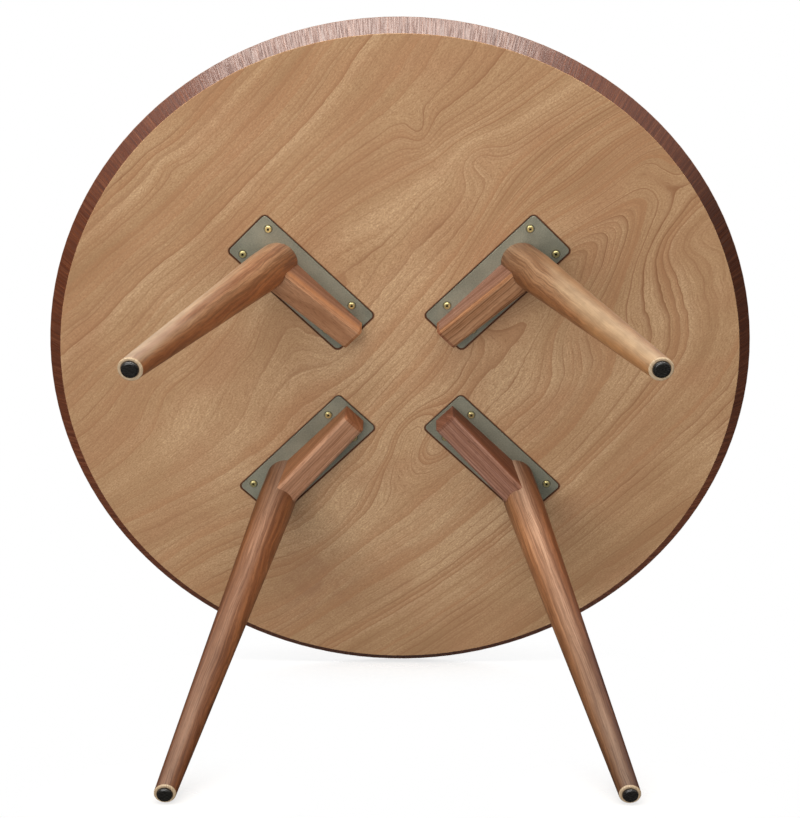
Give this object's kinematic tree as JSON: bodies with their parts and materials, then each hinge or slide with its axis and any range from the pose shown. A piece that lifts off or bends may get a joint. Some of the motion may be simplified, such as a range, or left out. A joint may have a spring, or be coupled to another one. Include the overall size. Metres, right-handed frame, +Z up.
{
  "type": "round dining table",
  "caption": "Round walnut-veneered dining table with an undercut edge, turned splayed legs braced on bolted steel plates, and screw-in levelling feet.",
  "frame": {"origin": "on the floor, below the middle of the round top", "axes": "+Z up through the middle of the top; the legs lie on the diagonals between X and Y"},
  "size_m": [1.1998, 1.2, 0.74],
  "materials": {
    "panel_core": "fibreboard core, routed pockets",
    "top_veneer": "satin walnut veneer",
    "edge_veneer": "satin walnut edge veneer",
    "backing_veneer": "matt pale backing veneer",
    "zinc_plate": "dull zinc-plated steel",
    "yellow_zinc": "yellow zinc-plated steel",
    "insert_brass": "plain brass",
    "leg_wood": "oiled solid walnut",
    "brace_wood": "oiled solid walnut",
    "dowel_wood": "bare beech",
    "screw_steel": "zinc-plated steel",
    "black_nylon": "moulded black nylon",
    "stem_steel": "zinc-plated steel"
  },
  "bodies": {
    "table": {"tabletop_core": "panel_core", "top_veneer": "top_veneer", "edge_veneer": "edge_veneer", "backing_veneer": "backing_veneer", "mounting_plate_1": "zinc_plate", "plate_bolts_1": "yellow_zinc", "threaded_inserts_1": "insert_brass", "leg_1": "leg_wood", "brace_1": "brace_wood", "brace_dowels_1": "dowel_wood", "leg_screws_1": "screw_steel", "foot_insert_1": "stem_steel", "mounting_plate_2": "zinc_plate", "plate_bolts_2": "yellow_zinc", "threaded_inserts_2": "insert_brass", "leg_2": "leg_wood", "brace_2": "brace_wood", "brace_dowels_2": "dowel_wood", "leg_screws_2": "screw_steel", "foot_insert_2": "stem_steel", "mounting_plate_3": "zinc_plate", "plate_bolts_3": "yellow_zinc", "threaded_inserts_3": "insert_brass", "leg_3": "leg_wood", "brace_3": "brace_wood", "brace_dowels_3": "dowel_wood", "leg_screws_3": "screw_steel", "foot_insert_3": "stem_steel", "mounting_plate_4": "zinc_plate", "plate_bolts_4": "yellow_zinc", "threaded_inserts_4": "insert_brass", "leg_4": "leg_wood", "brace_4": "brace_wood", "brace_dowels_4": "dowel_wood", "leg_screws_4": "screw_steel", "foot_insert_4": "stem_steel"},
    "foot_1": {"levelling_pad_1": "black_nylon", "levelling_stem_1": "stem_steel"},
    "foot_2": {"levelling_pad_2": "black_nylon", "levelling_stem_2": "stem_steel"},
    "foot_3": {"levelling_pad_3": "black_nylon", "levelling_stem_3": "stem_steel"},
    "foot_4": {"levelling_pad_4": "black_nylon", "levelling_stem_4": "stem_steel"}
  },
  "joints": [
    {"name": "foot_1_screw", "type": "slide", "parent": "table", "child": "foot_1", "axis": [0, 0, -1], "range_m": [0, 0.01]},
    {"name": "foot_2_screw", "type": "slide", "parent": "table", "child": "foot_2", "axis": [0, 0, -1], "range_m": [0, 0.01]},
    {"name": "foot_3_screw", "type": "slide", "parent": "table", "child": "foot_3", "axis": [0, 0, -1], "range_m": [0, 0.01]},
    {"name": "foot_4_screw", "type": "slide", "parent": "table", "child": "foot_4", "axis": [0, 0, -1], "range_m": [0, 0.01]}
  ]
}
